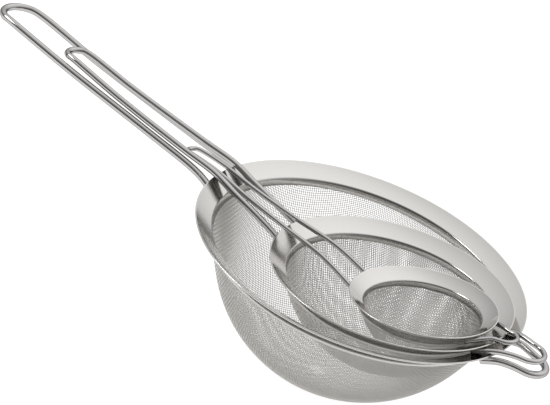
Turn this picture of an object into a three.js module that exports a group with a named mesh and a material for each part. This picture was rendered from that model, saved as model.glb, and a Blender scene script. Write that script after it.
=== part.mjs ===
// Set of three nested fine-mesh bowl strainers, in millimetres, +Z up.
// The origin is the middle of the flat spot under the large basket. Each strainer has a sloped
// sheet rim, a woven basket held between the rim's collar and a clamp ring, a long wire loop
// handle towards -X and a short wire rest hook towards +X. The medium strainer stands in the
// large one, and the small one in the medium one: their handles and hooks lie on the rims.
import * as THREE from 'three';

const DEGREE = Math.PI / 180;

// Sheet, mesh and fit sizes shared by the three strainers.
const RIM_SHEET = 1.0;
const MESH_THICKNESS = 0.6;
const CLAMP_SHEET = 0.9;
const FIT_GAP = 0.3;
const CLAMP_HEIGHT = 2.2;
const BASKET_TOP_DROP = 3.2;

// Points of the rim's section as [outwards, upwards]: the round bend between collar and flange,
// from the flange's inner end, and the crisp outer edge, from the edge's top.
const RIM_BEND = [[-1.08, -1.68], [-0.48, -0.66], [0.6, -0.024]];
const RIM_EDGE = [[-0.1, -0.95], [0, -0.5], [-0.3, -0.02]];

// Surface finishes as [colour, roughness].
const POLISHED_SHEET = [0xd6d3cf, 0.12];
const WOVEN_MESH = [0xb9b4ab, 0.4];
const SATIN_BAND = [0xc4c1bc, 0.3];
const POLISHED_WIRE = [0xd0ccc7, 0.16];

// How finely the round shapes are divided.
const TURNS = 48;
const BOWL_STEPS = 9;
const WIRE_SIDES = 8;
const TIP_STEPS = 6;
const HANDLE_STEPS = 48;
const HOOK_STEPS = 28;

// Driving sizes of each strainer, in its own frame: origin on the axis at the height of the
// rim's outer edge. A leg's points are [distance along the handle or hook, half width, height].
// The hooks are welded on a few degrees away from the point opposite the handle.
const LARGE = {
  name: 'large',
  rimRadius: 113,
  innerRadius: 100.7,
  flangeDrop: 6.1,
  collarRadius: 97.9,
  collarDrop: 11.1,
  wallAngle: 24,
  basketDepth: 83.5,
  flatSpot: 9,
  handle: {
    wire: 5.2,
    turn: 0,
    leg: [[104.5, 21.5, -8], [113.5, 19.6, -4.2], [126, 17.2, -1.7], [170, 15.9, 3.9],
      [240, 15.2, 12.8]],
    tip: 311,
    tipHalfWidth: 14.7,
    tipHeight: 21.8,
  },
  hook: {
    wire: 4.8,
    turn: -1.6,
    leg: [[105.5, 19.2, -8], [114.3, 16.6, -4.1], [119.2, 14.8, -3.3], [124.2, 13, -3.2]],
    tip: 139.7,
    tipHalfWidth: 12,
    tipHeight: -3.3,
  },
};
const MEDIUM = {
  name: 'medium',
  rimRadius: 81.4,
  innerRadius: 69.6,
  flangeDrop: 6.3,
  collarRadius: 67.3,
  collarDrop: 10.6,
  wallAngle: 20,
  basketDepth: 49,
  flatSpot: 5,
  handle: {
    wire: 4.6,
    turn: 0,
    leg: [[75, 14.6, -6.9], [82.2, 13.4, -3.5], [97, 13, 2.4], [120, 12.7, 10.6],
      [137, 12.6, 17], [165, 12, 22.1], [225, 10.2, 34.2]],
    tip: 274.8,
    tipHalfWidth: 8.5,
    tipHeight: 44.1,
  },
  hook: {
    wire: 3.6,
    turn: -2.1,
    leg: [[72.5, 20.8, -6.8], [81.5, 18.5, -2.9], [88, 16, -0.9], [94.3, 13.5, -0.2]],
    tip: 110.8,
    tipHalfWidth: 12,
    tipHeight: 0,
  },
};
const SMALL = {
  name: 'small',
  rimRadius: 48.4,
  innerRadius: 39.1,
  flangeDrop: 5.4,
  collarRadius: 37.6,
  collarDrop: 9.0,
  wallAngle: 20,
  basketDepth: 30,
  flatSpot: 3,
  handle: {
    wire: 3.2,
    turn: 0,
    leg: [[43.6, 12, -6.4], [49.2, 11.6, -3.2], [72, 10.4, 7.6], [104, 8.4, 16.4],
      [135, 6.8, 25.6], [162, 5.6, 35]],
    tip: 187.5,
    tipHalfWidth: 5.1,
    tipHeight: 39.4,
  },
  hook: {
    wire: 3.0,
    turn: -1.0,
    leg: [[40, 19.2, -5.7], [47.8, 13.6, -2.9], [53.2, 9.9, -1.6], [55.5, 9, -1.6]],
    tip: 65.6,
    tipHalfWidth: 8.5,
    tipHeight: -1.7,
  },
};

// How the nested strainers sit: place of the rim's centre from the large rim's centre, and the
// angle by which the hook side is raised.
const MEDIUM_SEAT = { x: 25.6, y: -2.0, z: -3.2, lift: 4.6 };
const SMALL_SEAT = { x: 51.0, y: -4.4, z: -3.0, lift: 10.3 };

function steelMesh(name, geometry, [color, roughness]) {
  const material = new THREE.MeshStandardMaterial({ color, roughness, metalness: 1 });
  const mesh = new THREE.Mesh(geometry, material);
  mesh.name = name;
  return mesh;
}

// Unit normals along an open line in the radius-height plane, pointing to the line's right.
function lineNormals(line) {
  return line.map((point, i) => {
    const before = line[Math.max(i - 1, 0)];
    const after = line[Math.min(i + 1, line.length - 1)];
    const along = after.clone().sub(before).normalize();
    return new THREE.Vector2(along.y, -along.x);
  });
}

function offsetLine(line, distance) {
  const normals = lineNormals(line);
  return line.map((point, i) => point.clone().addScaledVector(normals[i], distance));
}

// Turns a closed outline, given anticlockwise in the radius-height plane, about the Z axis.
function turned(outline) {
  const geometry = new THREE.LatheGeometry(outline, TURNS);
  geometry.rotateX(Math.PI / 2);
  return geometry;
}

// The rim is one pressed sheet: a flange that rises outwards to a crisp edge, a round inner bend
// and a collar that follows the basket's wall.
function rimGeometry(s) {
  const slope = Math.atan2(s.flangeDrop, s.rimRadius - s.innerRadius);
  const bendPoints = RIM_BEND.map(([out, up]) => (
    new THREE.Vector2(s.innerRadius + out, -s.flangeDrop + up)));
  const face = [
    new THREE.Vector2(s.collarRadius, -s.collarDrop),
    ...bendPoints,
    new THREE.Vector2(s.rimRadius - RIM_SHEET, -RIM_SHEET * Math.tan(slope)),
  ];
  const edge = RIM_EDGE.map(([out, up]) => new THREE.Vector2(s.rimRadius + out, up));
  const outline = [...offsetLine(face, RIM_SHEET), ...edge, ...face.reverse()];
  outline.push(outline[0].clone());
  return turned(outline);
}

// Height at which the basket and its clamp ring end, below the rim's bend.
function basketTop(s) {
  return -s.flangeDrop - BASKET_TOP_DROP;
}

// The basket's middle surface from the bottom up: flat spot, round bowl and straight sloping wall.
function basketLine(s) {
  const topHeight = basketTop(s);
  const wall = s.wallAngle * DEGREE;
  const stand = RIM_SHEET + FIT_GAP + MESH_THICKNESS / 2;
  const topRadius = s.collarRadius + stand / Math.cos(wall);
  const ball = (topRadius / Math.tan(wall) - s.basketDepth)
    / (Math.cos(wall) / Math.tan(wall) - 1 + Math.sin(wall));
  const bottom = -s.collarDrop - s.basketDepth;
  const flatAngle = Math.asin(s.flatSpot / ball);
  const line = [new THREE.Vector2(0, bottom + ball * (1 - Math.cos(flatAngle)))];
  for (let i = 0; i <= BOWL_STEPS; i += 1) {
    const angle = flatAngle + (Math.PI / 2 - wall - flatAngle) * (i / BOWL_STEPS);
    line.push(new THREE.Vector2(ball * Math.sin(angle), bottom + ball * (1 - Math.cos(angle))));
  }
  const rise = topHeight + s.collarDrop;
  line.push(new THREE.Vector2(topRadius + rise * Math.tan(wall), topHeight));
  return line;
}

function basketGeometry(s) {
  const line = basketLine(s);
  const outer = offsetLine(line, MESH_THICKNESS / 2);
  const inner = offsetLine(line, -MESH_THICKNESS / 2);
  return turned([...outer, ...inner.reverse()]);
}

// A narrow band round the top of the basket that presses it against the rim's collar.
function clampGeometry(s) {
  const wall = s.wallAngle * DEGREE;
  const stand = RIM_SHEET + FIT_GAP + MESH_THICKNESS + FIT_GAP;
  const top = basketTop(s);
  const radiusAt = (height) => s.collarRadius + stand / Math.cos(wall)
    + (height + s.collarDrop) * Math.tan(wall);
  const face = [
    new THREE.Vector2(radiusAt(top - CLAMP_HEIGHT), top - CLAMP_HEIGHT),
    new THREE.Vector2(radiusAt(top), top),
  ];
  const outline = [...offsetLine(face, CLAMP_SHEET), ...face.reverse()];
  outline.push(outline[0].clone());
  return turned(outline);
}

// A bent wire: along one leg, round the tip and back along the other leg.
function wireGeometry(wire, side, steps) {
  const leg = wire.leg.map(([along, half, height]) => new THREE.Vector3(side * along, half, height));
  const tip = [];
  for (let i = 0; i <= TIP_STEPS; i += 1) {
    const angle = (i / TIP_STEPS) * Math.PI;
    const along = wire.tip - wire.tipHalfWidth * (1 - Math.sin(angle));
    tip.push(new THREE.Vector3(side * along, wire.tipHalfWidth * Math.cos(angle), wire.tipHeight));
  }
  const otherLeg = leg.map((point) => new THREE.Vector3(point.x, -point.y, point.z)).reverse();
  const path = new THREE.CatmullRomCurve3([...leg, ...tip, ...otherLeg], false, 'centripetal');
  const section = new THREE.Shape();
  for (let i = 0; i < WIRE_SIDES; i += 1) {
    const angle = (i / WIRE_SIDES) * 2 * Math.PI;
    const x = (wire.wire / 2) * Math.cos(angle);
    const y = (wire.wire / 2) * Math.sin(angle);
    if (i === 0) section.moveTo(x, y);
    else section.lineTo(x, y);
  }
  section.closePath();
  const geometry = new THREE.ExtrudeGeometry(section, { extrudePath: path, steps, bevelEnabled: false });
  return geometry.rotateZ(wire.turn * DEGREE);
}

function strainer(s) {
  const group = new THREE.Group();
  group.name = `${s.name}_strainer`;
  group.add(
    steelMesh(`${s.name}_rim`, rimGeometry(s), POLISHED_SHEET),
    steelMesh(`${s.name}_mesh_basket`, basketGeometry(s), WOVEN_MESH),
    steelMesh(`${s.name}_mesh_clamp_ring`, clampGeometry(s), SATIN_BAND),
    steelMesh(`${s.name}_handle`, wireGeometry(s.handle, -1, HANDLE_STEPS), POLISHED_WIRE),
    steelMesh(`${s.name}_rest_hook`, wireGeometry(s.hook, 1, HOOK_STEPS), POLISHED_WIRE),
  );
  return group;
}

const set = new THREE.Group();
set.name = 'nested_strainer_set';

const large = strainer(LARGE);
const baseHeight = MESH_THICKNESS / 2 - basketLine(LARGE)[0].y;
large.position.z = baseHeight;
set.add(large);

for (const [size, seat] of [[MEDIUM, MEDIUM_SEAT], [SMALL, SMALL_SEAT]]) {
  const nested = strainer(size);
  nested.position.set(seat.x, seat.y, baseHeight + seat.z);
  nested.rotation.y = -seat.lift * DEGREE;
  set.add(nested);
}

export default set;
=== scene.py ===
"""Set of three nested fine-mesh strainers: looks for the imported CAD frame."""
import math

import bpy
import numpy as np
from mathutils import Matrix, Vector


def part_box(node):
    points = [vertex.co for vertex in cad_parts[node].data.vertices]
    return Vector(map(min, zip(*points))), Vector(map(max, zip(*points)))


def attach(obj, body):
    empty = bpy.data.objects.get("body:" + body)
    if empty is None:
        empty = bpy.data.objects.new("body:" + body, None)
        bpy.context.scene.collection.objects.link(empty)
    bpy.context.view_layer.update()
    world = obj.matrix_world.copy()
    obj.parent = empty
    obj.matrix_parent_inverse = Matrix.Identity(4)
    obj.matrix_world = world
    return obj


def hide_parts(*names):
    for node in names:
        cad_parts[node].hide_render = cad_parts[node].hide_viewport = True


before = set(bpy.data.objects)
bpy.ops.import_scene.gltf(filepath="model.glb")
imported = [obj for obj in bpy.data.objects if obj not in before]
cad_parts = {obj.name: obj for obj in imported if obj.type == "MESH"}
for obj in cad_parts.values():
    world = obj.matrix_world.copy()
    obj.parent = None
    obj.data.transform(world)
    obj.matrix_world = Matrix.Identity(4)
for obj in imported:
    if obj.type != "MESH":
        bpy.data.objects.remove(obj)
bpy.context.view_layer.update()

MM = 0.001

# ---------------------------------------------------------------- driving sizes, in millimetres
# Each strainer has its own frame: origin on the bowl's axis at the height of the rim's outer
# edge, handle towards -X and rest hook towards +X. A leg's points are
# (distance along the handle or hook, half width, height). A seat is the place of that origin,
# as x, y and height from the large rim's centre, and the angle that raises the hook side.
# Angles are in degrees.
LARGE = {
    "name": "large",
    "rim_radius": 113.0,
    "inner_radius": 100.7,
    "flange_drop": 6.1,
    "collar_radius": 97.9,
    "collar_drop": 11.1,
    "wall_angle": 24.0,
    "basket_depth": 83.5,
    "handle": {
        "wire": 5.2,
        "turn": 0.0,
        "leg": [(104.5, 21.5, -8.0), (113.5, 19.6, -4.2), (126, 17.2, -1.7), (170, 15.9, 3.9),
                (240, 15.2, 12.8)],
        "tip": 311.0,
        "tip_half_width": 14.7,
        "tip_height": 21.8,
    },
    "hook": {
        "wire": 4.8,
        "turn": -1.6,
        "leg": [(105.5, 19.2, -8.0), (114.3, 16.6, -4.1), (119.2, 14.8, -3.3),
                (124.2, 13.0, -3.2)],
        "tip": 139.7,
        "tip_half_width": 12.0,
        "tip_height": -3.3,
    },
    "seat": (0.0, 0.0, 0.0, 0.0),
    "weave_turn": 50.0,
}
MEDIUM = {
    "name": "medium",
    "rim_radius": 81.4,
    "inner_radius": 69.6,
    "flange_drop": 6.3,
    "collar_radius": 67.3,
    "collar_drop": 10.6,
    "wall_angle": 20.0,
    "basket_depth": 49.0,
    "handle": {
        "wire": 4.6,
        "turn": 0.0,
        "leg": [(75, 14.6, -6.9), (82.2, 13.4, -3.5), (97, 13.0, 2.4), (120, 12.7, 10.6),
                (137, 12.6, 17.0), (165, 12.0, 22.1), (225, 10.2, 34.2)],
        "tip": 274.8,
        "tip_half_width": 8.5,
        "tip_height": 44.1,
    },
    "hook": {
        "wire": 3.6,
        "turn": -2.1,
        "leg": [(72.5, 20.8, -6.8), (81.5, 18.5, -2.9), (88, 16.0, -0.9), (94.3, 13.5, -0.2)],
        "tip": 110.8,
        "tip_half_width": 12.0,
        "tip_height": 0.0,
    },
    "seat": (25.6, -2.0, -3.2, 4.6),
    "weave_turn": 55.0,
}
SMALL = {
    "name": "small",
    "rim_radius": 48.4,
    "inner_radius": 39.1,
    "flange_drop": 5.4,
    "collar_radius": 37.6,
    "collar_drop": 9.0,
    "wall_angle": 20.0,
    "basket_depth": 30.0,
    "handle": {
        "wire": 3.2,
        "turn": 0.0,
        "leg": [(43.6, 12.0, -6.4), (49.2, 11.6, -3.2), (72, 10.4, 7.6), (104, 8.4, 16.4),
                (135, 6.8, 25.6), (162, 5.6, 35.0)],
        "tip": 187.5,
        "tip_half_width": 5.1,
        "tip_height": 39.4,
    },
    "hook": {
        "wire": 3.0,
        "turn": -1.0,
        "leg": [(40, 19.2, -5.7), (47.8, 13.6, -2.9), (53.2, 9.9, -1.6), (55.5, 9.0, -1.6)],
        "tip": 65.6,
        "tip_half_width": 8.5,
        "tip_height": -1.7,
    },
    "seat": (51.0, -4.4, -3.0, 10.3),
    "weave_turn": 15.0,
}

# Sheet, cloth and fit sizes shared by the three strainers.
RIM_SHEET = 1.0
RIM_BEND_RADIUS = 1.6
RIM_EDGE_RUN_IN = 0.4
FIT_GAP = 0.3
BASKET_TOP_DROP = 3.2
CLAMP_SHEET = 0.9
CLAMP_HEIGHT = 2.2
WEAVE_PITCH = 1.6
WEAVE_WIRE = 0.40

# How finely the round shapes are divided.
TURNS = 288
BEND_STEPS = 8
CLAMP_POINTS = 5
WIRE_SIDES = 20
WIRE_POINT_SPACING = 1.2
TIP_STEPS = 6
END_STEPS = 4
CLOTH_FIT_STEPS = 6


# ---------------------------------------------------------------- camera and studio
CAMERA_AZIMUTH = -67.36
CAMERA_ELEVATION = 27.94
CAMERA_ROLL = 20.22
CAMERA_DISTANCE = 1162.0
CAMERA_LENS = 117.8
AIM_RIGHT = -56.96
AIM_UP = 33.54
SENSOR_WIDTH = 36.0


def add_camera():
    """The camera looks to the handle side of the large rim's centre and is rolled."""
    azimuth = math.radians(CAMERA_AZIMUTH)
    elevation = math.radians(CAMERA_ELEVATION)
    back = Vector((math.cos(azimuth) * math.cos(elevation),
                   math.sin(azimuth) * math.cos(elevation),
                   math.sin(elevation)))
    level_right = Vector((0, 0, 1)).cross(back).normalized()
    level_up = back.cross(level_right)
    roll = math.radians(CAMERA_ROLL)
    right = level_right * math.cos(roll) + level_up * math.sin(roll)
    up = level_up * math.cos(roll) - level_right * math.sin(roll)
    rim_centre = Vector((0, 0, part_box("large_rim")[1].z / MM))
    aim = rim_centre + right * AIM_RIGHT + up * AIM_UP
    place = (aim + back * CAMERA_DISTANCE) * MM
    data = bpy.data.cameras.new("camera")
    data.sensor_width = SENSOR_WIDTH
    data.lens = CAMERA_LENS
    camera = bpy.data.objects.new("camera", data)
    turn = Matrix((right, up, back)).transposed().to_4x4()
    camera.matrix_world = Matrix.Translation(place) @ turn
    bpy.context.scene.collection.objects.link(camera)
    bpy.context.scene.camera = camera


add_camera()


def link_mesh(name, vertices, faces, smooth=True):
    """A mesh object from an array of points in metres and a list of faces."""
    mesh = bpy.data.meshes.new(name)
    mesh.from_pydata([tuple(v) for v in vertices], [], faces)
    mesh.polygons.foreach_set("use_smooth", [smooth] * len(mesh.polygons))
    mesh.update()
    piece = bpy.data.objects.new(name, mesh)
    bpy.context.scene.collection.objects.link(piece)
    return piece


FLOOR_REACH = 6.0
FLOOR_GREY = 0.25
FLOOR_ROUGHNESS = 0.7
FLOOR_GLOW = 0.9


def add_floor():
    """A plain pale floor that glows a little, so that it stays white."""
    corners = [(x * FLOOR_REACH, y * FLOOR_REACH, 0) for x, y in ((-1, -1), (1, -1), (1, 1), (-1, 1))]
    floor = link_mesh("floor", corners, [(0, 1, 2, 3)], smooth=False)
    material = bpy.data.materials.new("floor_white")
    material.use_nodes = True
    shader = material.node_tree.nodes["Principled BSDF"]
    shader.inputs["Base Color"].default_value = (FLOOR_GREY, FLOOR_GREY, FLOOR_GREY, 1)
    shader.inputs["Roughness"].default_value = FLOOR_ROUGHNESS
    shader.inputs["Emission Color"].default_value = (1, 1, 1, 1)
    shader.inputs["Emission Strength"].default_value = FLOOR_GLOW
    floor.data.materials.append(material)


def seen_from_camera(right, away, up):
    """A direction given in the camera's level frame, as a unit vector of the shared frame."""
    azimuth = math.radians(CAMERA_AZIMUTH)
    level_right = Vector((-math.sin(azimuth), math.cos(azimuth), 0))
    level_away = Vector((-math.cos(azimuth), -math.sin(azimuth), 0))
    return (level_right * right + level_away * away + Vector((0, 0, up))).normalized()


LIGHT_AIM = (0, 0, 0.06)


def add_area(name, direction, distance, size, radiance):
    """A soft box in a direction from the bowls, turned towards them, in metres."""
    data = bpy.data.lights.new(name, "AREA")
    data.shape = "RECTANGLE"
    data.size, data.size_y = size
    data.energy = radiance * math.pi * size[0] * size[1]
    light = bpy.data.objects.new(name, data)
    light.location = Vector(LIGHT_AIM) + direction * distance
    light.rotation_euler = (-direction).to_track_quat("-Z", "Y").to_euler()
    bpy.context.scene.collection.objects.link(light)


# The sky's brightest direction and its greys, as (cosine of the angle from there, grey).
SKY_AXIS = (0.3, 0.6, 1.0)
SKY = [(-1.0, 0.1), (-0.1, 0.1), (0.1, 0.2), (0.3, 0.4),
       (0.5, 0.66), (0.7, 0.86), (0.85, 1.05), (1.0, 1.2)]
SKY_STRENGTH = 1.05


def add_world():
    """A studio that is light overhead and behind the bowls and dark on the camera's side."""
    world = bpy.data.worlds.new("studio")
    bpy.context.scene.world = world
    world.use_nodes = True
    tree = world.node_tree
    place = tree.nodes.new("ShaderNodeTexCoord")
    along = tree.nodes.new("ShaderNodeVectorMath")
    along.operation = "DOT_PRODUCT"
    along.inputs[1].default_value = seen_from_camera(*SKY_AXIS)
    spread = tree.nodes.new("ShaderNodeMapRange")
    spread.inputs["From Min"].default_value = -1.0
    ramp = tree.nodes.new("ShaderNodeValToRGB")
    tree.links.new(place.outputs["Generated"], along.inputs[0])
    tree.links.new(along.outputs["Value"], spread.inputs["Value"])
    tree.links.new(spread.outputs["Result"], ramp.inputs["Fac"])
    tree.links.new(ramp.outputs["Color"], tree.nodes["Background"].inputs["Color"])
    elements = ramp.color_ramp.elements
    while len(elements) < len(SKY):
        elements.new(1.0)
    for element, (closeness, grey) in zip(elements, SKY):
        element.position = (closeness + 1) / 2
        element.color = (grey, grey, grey, 1)
    tree.nodes["Background"].inputs["Strength"].default_value = SKY_STRENGTH


add_floor()
add_world()
add_area("key", seen_from_camera(-1, -0.1, 0.6), distance=1.3, size=(0.6, 0.4), radiance=5.0)
bpy.context.scene.view_settings.view_transform = "Standard"


# ---------------------------------------------------------------- materials
def steel(name, colour, roughness, edge=1.0):
    """A plain metal; an edge below 1 darkens it where it is seen at a grazing angle."""
    material = bpy.data.materials.new(name)
    material.use_nodes = True
    shader = material.node_tree.nodes["Principled BSDF"]
    shader.inputs["Base Color"].default_value = (*colour, 1)
    shader.inputs["Metallic"].default_value = 1.0
    shader.inputs["Roughness"].default_value = roughness
    shader.inputs["Specular Tint"].default_value = (edge, edge, edge, 1)
    return material


MARK_DETAIL = 3.0
MARK_DEPTH = 0.0002


def polished(material, scale, stretch, low, high, bump):
    """Adds fine polishing marks: noise, stretched, in the roughness and as a faint bump."""
    tree = material.node_tree
    shader = tree.nodes["Principled BSDF"]
    place = tree.nodes.new("ShaderNodeTexCoord")
    mapping = tree.nodes.new("ShaderNodeMapping")
    noise = tree.nodes.new("ShaderNodeTexNoise")
    spread = tree.nodes.new("ShaderNodeMapRange")
    relief = tree.nodes.new("ShaderNodeBump")
    mapping.inputs["Scale"].default_value = stretch
    noise.inputs["Scale"].default_value = scale
    noise.inputs["Detail"].default_value = MARK_DETAIL
    spread.inputs["To Min"].default_value = low
    spread.inputs["To Max"].default_value = high
    relief.inputs["Strength"].default_value = bump
    relief.inputs["Distance"].default_value = MARK_DEPTH
    tree.links.new(place.outputs["Object"], mapping.inputs["Vector"])
    tree.links.new(mapping.outputs["Vector"], noise.inputs["Vector"])
    tree.links.new(noise.outputs["Fac"], spread.inputs["Value"])
    tree.links.new(spread.outputs["Result"], shader.inputs["Roughness"])
    tree.links.new(noise.outputs["Fac"], relief.inputs["Height"])
    tree.links.new(relief.outputs["Normal"], shader.inputs["Normal"])
    return material


RIM_STEEL = polished(steel("polished_rim_steel", (0.64, 0.625, 0.605), 0.12),
                     scale=260, stretch=(1, 1, 1), low=0.09, high=0.17, bump=0.02)
WIRE_STEEL = polished(steel("polished_wire_steel", (0.50, 0.49, 0.48), 0.12, edge=0.35),
                      scale=90, stretch=(0.15, 1, 1), low=0.10, high=0.18, bump=0.02)
CLAMP_STEEL = polished(steel("satin_band_steel", (0.55, 0.54, 0.52), 0.3),
                       scale=300, stretch=(1, 1, 1), low=0.24, high=0.36, bump=0.03)
MESH_STEEL = steel("woven_wire_steel", (0.60, 0.585, 0.56), 0.38)


# ---------------------------------------------------------------- shape helpers
def finish(piece, size, part, material):
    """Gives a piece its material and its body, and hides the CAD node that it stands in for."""
    piece.data.materials.append(material)
    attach(piece, f"{size['name']}_strainer")
    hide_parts(f"{size['name']}_{part}")


def place_of(size):
    """Turns a strainer's own frame into the shared frame, both in millimetres."""
    x, y, z, lift = size["seat"]
    rim_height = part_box("large_rim")[1].z / MM
    lifted = Matrix.Rotation(math.radians(-lift), 4, "Y")
    return Matrix.Translation((x, y, rim_height + z)) @ lifted


def in_metres(points, place):
    """Points of a strainer's own frame, in millimetres, as shared-frame points in metres."""
    turn = np.array(place.to_3x3())
    return (np.asarray(points) @ turn.T + np.array(place.translation)) * MM


def turned(name, outline, place):
    """Turns a closed outline of (radius, height) points about the bowl's axis."""
    outline = np.asarray(outline, float)
    angles = np.arange(TURNS) * 2 * math.pi / TURNS
    ring = len(outline)
    radius, height = outline[:, 0], outline[:, 1]
    points = np.stack([np.outer(np.cos(angles), radius), np.outer(np.sin(angles), radius),
                       np.tile(height, (TURNS, 1))], axis=2).reshape(-1, 3)
    faces = []
    for turn in range(TURNS):
        here, there = turn * ring, (turn + 1) % TURNS * ring
        for k in range(ring):
            nxt = (k + 1) % ring
            faces.append((here + k, there + k, there + nxt, here + nxt))
    return link_mesh(name, in_metres(points, place), faces)


def arc(centre, radius, start, end, steps):
    """Points on a circle in the radius-height plane, angles in degrees."""
    angles = np.radians(np.linspace(start, end, steps + 1))
    return [(centre[0] + radius * math.cos(a), centre[1] + radius * math.sin(a)) for a in angles]


def offset(line, distance):
    """A line moved to its right in the radius-height plane."""
    line = np.asarray(line, float)
    along = np.gradient(line, axis=0)
    along /= np.linalg.norm(along, axis=1)[:, None]
    return line + distance * np.stack([along[:, 1], -along[:, 0]], axis=1)


def smooth_path(knots, spacing):
    """Points along a centripetal Catmull-Rom curve, as the CAD wires follow."""
    knots = np.asarray(knots, float)
    first = 2 * knots[0] - knots[1]
    last = 2 * knots[-1] - knots[-2]
    p = np.vstack([first, knots, last])
    path = []
    for k in range(1, len(p) - 2):
        p0, p1, p2, p3 = p[k - 1:k + 3]
        t0 = 0.0
        t1 = t0 + np.linalg.norm(p1 - p0) ** 0.5
        t2 = t1 + np.linalg.norm(p2 - p1) ** 0.5
        t3 = t2 + np.linalg.norm(p3 - p2) ** 0.5
        count = max(2, int(np.linalg.norm(p2 - p1) / spacing))
        for t in np.linspace(t1, t2, count, endpoint=False):
            a1 = (t1 - t) / (t1 - t0) * p0 + (t - t0) / (t1 - t0) * p1
            a2 = (t2 - t) / (t2 - t1) * p1 + (t - t1) / (t2 - t1) * p2
            a3 = (t3 - t) / (t3 - t2) * p2 + (t - t2) / (t3 - t2) * p3
            b1 = (t2 - t) / (t2 - t0) * a1 + (t - t0) / (t2 - t0) * a2
            b2 = (t3 - t) / (t3 - t1) * a2 + (t - t1) / (t3 - t1) * a3
            path.append((t2 - t) / (t2 - t1) * b1 + (t - t1) / (t2 - t1) * b2)
    path.append(knots[-1])
    return np.array(path)


END_BULGE = 0.5
END_CLOSED = 0.02


def end_ring(centre, outward, across, over, radius, opening):
    """One ring of a wire's rounded end, from opening 0 at its top to a right angle."""
    shift = math.cos(opening) * radius * END_BULGE
    return centre + outward * shift, across, over, radius * max(math.sin(opening), END_CLOSED)


def bent_wire(name, wire, side, place):
    """A round wire along one leg, round the tip and back, with rounded ends."""
    leg = [(side * along, half, height) for along, half, height in wire["leg"]]
    tip = []
    for k in range(TIP_STEPS + 1):
        angle = k / TIP_STEPS * math.pi
        along = wire["tip"] - wire["tip_half_width"] * (1 - math.sin(angle))
        tip.append((side * along, wire["tip_half_width"] * math.cos(angle), wire["tip_height"]))
    back = [(x, -y, z) for x, y, z in reversed(leg)]
    path = smooth_path(leg + tip + back, WIRE_POINT_SPACING)
    radius = wire["wire"] / 2
    along = np.gradient(path, axis=0)
    along /= np.linalg.norm(along, axis=1)[:, None]
    up = np.array([0.0, 0.0, 1.0])
    across = np.cross(up, along)
    across /= np.linalg.norm(across, axis=1)[:, None]
    over = np.cross(along, across)
    openings = np.linspace(0, math.pi / 2, END_STEPS + 1)[:-1]
    rings = [end_ring(path[0], -along[0], across[0], over[0], radius, a) for a in openings]
    rings += [(path[k], across[k], over[k], radius) for k in range(len(path))]
    rings += [end_ring(path[-1], along[-1], across[-1], over[-1], radius, a)
              for a in openings[::-1]]
    turn = np.arange(WIRE_SIDES) * 2 * math.pi / WIRE_SIDES
    points = np.array([centre + r * (np.outer(np.cos(turn), a) + np.outer(np.sin(turn), o))
                       for centre, a, o, r in rings]).reshape(-1, 3)
    faces = []
    for k in range(len(rings) - 1):
        here, there = k * WIRE_SIDES, (k + 1) * WIRE_SIDES
        for m in range(WIRE_SIDES):
            nxt = (m + 1) % WIRE_SIDES
            faces.append((here + m, here + nxt, there + nxt, there + m))
    faces.append(tuple(range(WIRE_SIDES))[::-1])
    last = (len(rings) - 1) * WIRE_SIDES
    faces.append(tuple(range(last, last + WIRE_SIDES)))
    turned_place = place @ Matrix.Rotation(math.radians(wire["turn"]), 4, "Z")
    return link_mesh(name, in_metres(points, turned_place), faces)


# ---------------------------------------------------------------- woven baskets
class Bowl:
    """The basket's middle surface: a ball at the bottom that runs into a straight sloping wall."""

    def __init__(self, size):
        wall = math.radians(size["wall_angle"])
        stand = RIM_SHEET + FIT_GAP + WEAVE_WIRE
        self.slope = math.tan(wall)
        self.lean = math.cos(wall)
        self.top_radius = size["collar_radius"] + stand / self.lean
        self.collar_drop = size["collar_drop"]
        self.ball = ((self.top_radius / self.slope - size["basket_depth"])
                     / (self.lean / self.slope - 1 + math.sin(wall)))
        self.bottom = -size["collar_drop"] - size["basket_depth"]
        self.centre = self.bottom + self.ball
        self.join_angle = math.pi / 2 - wall
        self.join_radius = self.ball * math.sin(self.join_angle)
        self.join_height = self.centre - self.ball * math.cos(self.join_angle)
        self.top = -size["flange_drop"] - BASKET_TOP_DROP

    def meridian(self, length):
        """(radius, height) at a length along the surface from the bottom."""
        arc_length = self.ball * self.join_angle
        if length <= arc_length:
            angle = length / self.ball
            return self.ball * math.sin(angle), self.centre - self.ball * math.cos(angle)
        rest = length - arc_length
        return (self.join_radius + rest * self.slope * self.lean,
                self.join_height + rest * self.lean)

    def level(self, points):
        """Signed distance from the surface, about, and its outward normal, at each point."""
        radius = np.hypot(points[:, 0], points[:, 1])
        out = points[:, :2] / np.maximum(radius, 1e-9)[:, None]
        from_centre = points - np.array([0, 0, self.centre])
        reach = np.linalg.norm(from_centre, axis=1)
        on_ball = points[:, 2] < self.join_height
        distance = np.where(on_ball, reach - self.ball,
                            (radius - self.join_radius
                             - (points[:, 2] - self.join_height) * self.slope) * self.lean)
        cone = np.column_stack([out * self.lean, np.full(len(points), -self.slope * self.lean)])
        normal = np.where(on_ball[:, None], from_centre / reach[:, None], cone)
        return distance, normal


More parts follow.
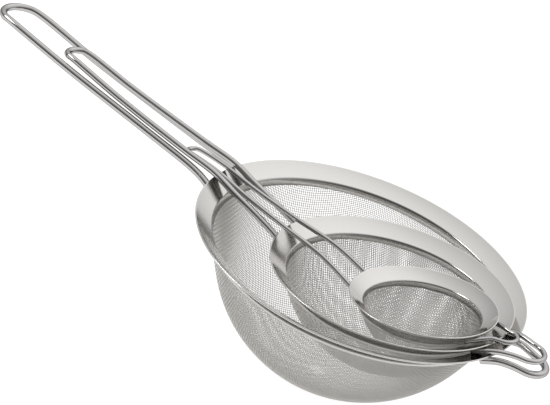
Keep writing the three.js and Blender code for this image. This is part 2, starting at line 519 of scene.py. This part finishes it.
def weave_nodes(bowl, pitch):
    """Crossings of the wire cloth on one quarter of the bowl, as a grid of points.

    The cloth is laid over the bowl as real cloth is: every cell keeps its side lengths and
    only shears, starting from two wires that cross at the bottom."""
    count = int(bowl.ball * math.pi / pitch)
    grid = np.full((count, count, 3), np.nan)
    for k in range(count):
        radius, height = bowl.meridian(k * pitch)
        if height > bowl.top + 2 * pitch:
            break
        grid[k, 0] = (radius, 0, height)
        grid[0, k] = (0, radius, height)
    for total in range(2, 2 * count - 1):
        i = np.arange(max(1, total - count + 1), min(total, count))
        j = total - i
        before, beside, corner = grid[i - 1, j], grid[i, j - 1], grid[i - 1, j - 1]
        good = np.isfinite(before[:, 0]) & np.isfinite(beside[:, 0])
        good &= (before[:, 2] < bowl.top) & (beside[:, 2] < bowl.top)
        if not good.any():
            continue
        a, b, c = before[good], beside[good], corner[good]
        point = a + b - c
        for _ in range(CLOTH_FIT_STEPS):
            distance, normal = bowl.level(point)
            rows = np.stack([2 * (point - a), 2 * (point - b), normal], axis=1)
            wrong = np.stack([((point - a) ** 2).sum(1) - pitch ** 2,
                              ((point - b) ** 2).sum(1) - pitch ** 2, distance], axis=1)
            point = point - np.linalg.solve(rows, wrong[:, :, None])[:, :, 0]
        grid[i[good], j[good]] = point
    return grid


def cut_at_top(line, top):
    """The part of a wire's points below the basket's top, cut exactly at the top."""
    below = line[:, 2] <= top
    keep = []
    for k in range(len(line)):
        if below[k]:
            keep.append(line[k])
        elif k and below[k - 1] or k + 1 < len(line) and below[k + 1]:
            near = line[k - 1] if k and below[k - 1] else line[k + 1]
            share = (top - near[2]) / (line[k, 2] - near[2])
            keep.append(near + share * (line[k] - near))
    return np.array(keep)


def cloth_lines(grid, family):
    """Full wires of one direction, mirrored from the quarter grid, with which side each crossing is."""
    along_axis = 1 if family == 0 else 0
    flip = np.ones(3)
    flip[along_axis] = -1
    lines = []
    for k in range(len(grid)):
        half = grid[k, :] if family == 0 else grid[:, k]
        half = half[np.isfinite(half[:, 0])]
        if len(half) < 2:
            continue
        line = np.vstack([(half * flip)[:0:-1], half])
        steps = np.arange(-(len(half) - 1), len(half))
        for side in (1,) if k == 0 else (1, -1):
            whole = line.copy()
            whole[:, 1 - along_axis] *= side
            lines.append((whole, (steps + k) % 2))
    return lines


def cloth_wire(bowl, path, radius):
    """Points and faces of one four-sided wire along a path on the bowl, counted from 0."""
    turn = np.radians([45, 135, 225, 315])
    _, normal = bowl.level(path)
    along = np.gradient(path, axis=0)
    along /= np.linalg.norm(along, axis=1)[:, None]
    across = np.cross(along, normal)
    across /= np.linalg.norm(across, axis=1)[:, None]
    over = np.cross(across, along)
    rings = (path[:, None, :] + radius * (np.cos(turn)[None, :, None] * across[:, None, :]
                                          + np.sin(turn)[None, :, None] * over[:, None, :]))
    start = np.arange(len(path) - 1)[:, None] * 4
    corner = np.arange(4)[None, :]
    nxt = (corner + 1) % 4
    quads = np.stack([start + corner, start + nxt, start + 4 + nxt, start + 4 + corner], axis=2)
    last = 4 * (len(path) - 1)
    caps = np.array([[3, 2, 1, 0], [last, last + 1, last + 2, last + 3]])
    return rings.reshape(-1, 3), np.vstack([quads.reshape(-1, 4), caps])


def link_quads(name, points, quads):
    """A smooth mesh object from arrays, for the many faces of the cloth."""
    mesh = bpy.data.meshes.new(name)
    mesh.vertices.add(len(points))
    mesh.vertices.foreach_set("co", points.astype(np.float32).ravel())
    mesh.loops.add(quads.size)
    mesh.loops.foreach_set("vertex_index", quads.ravel())
    mesh.polygons.add(len(quads))
    mesh.polygons.foreach_set("loop_start", np.arange(0, quads.size, 4, dtype=np.int32))
    mesh.polygons.foreach_set("use_smooth", np.ones(len(quads), bool))
    mesh.update(calc_edges=True)
    mesh.validate()
    piece = bpy.data.objects.new(name, mesh)
    bpy.context.scene.collection.objects.link(piece)
    return piece


def woven_family(name, bowl, grid, family, place):
    """All wires of one direction, each going over and under the wires of the other direction."""
    radius = WEAVE_WIRE / 2
    vertices, faces, base = [], [], 0
    for line, parity in cloth_lines(grid, family):
        _, normal = bowl.level(line)
        sign = np.where(parity == 0, 1.0, -1.0) * (1 if family == 0 else -1)
        path = cut_at_top(line + normal * (sign * radius)[:, None], bowl.top)
        if len(path) < 2:
            continue
        points, quads = cloth_wire(bowl, path, radius)
        vertices.append(points)
        faces.append(quads + base)
        base += len(points)
    return link_quads(name, in_metres(np.vstack(vertices), place),
                      np.vstack(faces).astype(np.int32))


# ---------------------------------------------------------------- sub-parts of one strainer
def rim_outline(size):
    """The pressed sheet: collar, round inner bend and a flange that rises to a crisp edge."""
    slope = math.atan2(size["flange_drop"], size["rim_radius"] - size["inner_radius"])
    bend_centre = (size["inner_radius"] + RIM_BEND_RADIUS * math.sin(slope),
                   -size["flange_drop"] - RIM_BEND_RADIUS * math.cos(slope))
    bend_line = arc(bend_centre, RIM_BEND_RADIUS, 180 - size["wall_angle"],
                    90 + math.degrees(slope), BEND_STEPS)
    face = [(size["collar_radius"], -size["collar_drop"])] + bend_line
    edge_radius = RIM_SHEET / 2
    outer_x = size["rim_radius"] - edge_radius
    face.append((outer_x - RIM_EDGE_RUN_IN,
                 -math.tan(slope) * (edge_radius + RIM_EDGE_RUN_IN / 2)))
    back = offset(face, RIM_SHEET)
    edge = arc((outer_x, -edge_radius), edge_radius, -60, 100, BEND_STEPS)
    return [*map(tuple, back), *edge, *face[::-1]]


def clamp_outline(size):
    """The narrow band round the top of the basket, outside the cloth."""
    wall = math.radians(size["wall_angle"])
    stand = RIM_SHEET + FIT_GAP + 2 * WEAVE_WIRE + FIT_GAP
    top = -size["flange_drop"] - BASKET_TOP_DROP

    def radius_at(height):
        rise = height + size["collar_drop"]
        return size["collar_radius"] + stand / math.cos(wall) + rise * math.tan(wall)

    heights = np.linspace(top - CLAMP_HEIGHT, top, CLAMP_POINTS)
    face = [(radius_at(z), z) for z in heights]
    return [*map(tuple, offset(face, CLAMP_SHEET)), *face[::-1]]


def build(size):
    """All the pieces of one strainer."""
    name = size["name"]
    place = place_of(size)
    rim = turned(f"{name}_rim_sheet", rim_outline(size), place)
    finish(rim, size, "rim", RIM_STEEL)
    clamp = turned(f"{name}_clamp_band", clamp_outline(size), place)
    finish(clamp, size, "mesh_clamp_ring", CLAMP_STEEL)
    handle = bent_wire(f"{name}_handle_wire", size["handle"], -1, place)
    finish(handle, size, "handle", WIRE_STEEL)
    hook = bent_wire(f"{name}_hook_wire", size["hook"], 1, place)
    finish(hook, size, "rest_hook", WIRE_STEEL)
    bowl = Bowl(size)
    grid = weave_nodes(bowl, WEAVE_PITCH)
    cloth_place = place @ Matrix.Rotation(math.radians(size["weave_turn"]), 4, "Z")
    for family, label in ((0, "warp"), (1, "weft")):
        cloth = woven_family(f"{name}_mesh_{label}", bowl, grid, family, cloth_place)
        finish(cloth, size, "mesh_basket", MESH_STEEL)


for one in (LARGE, MEDIUM, SMALL):
    build(one)
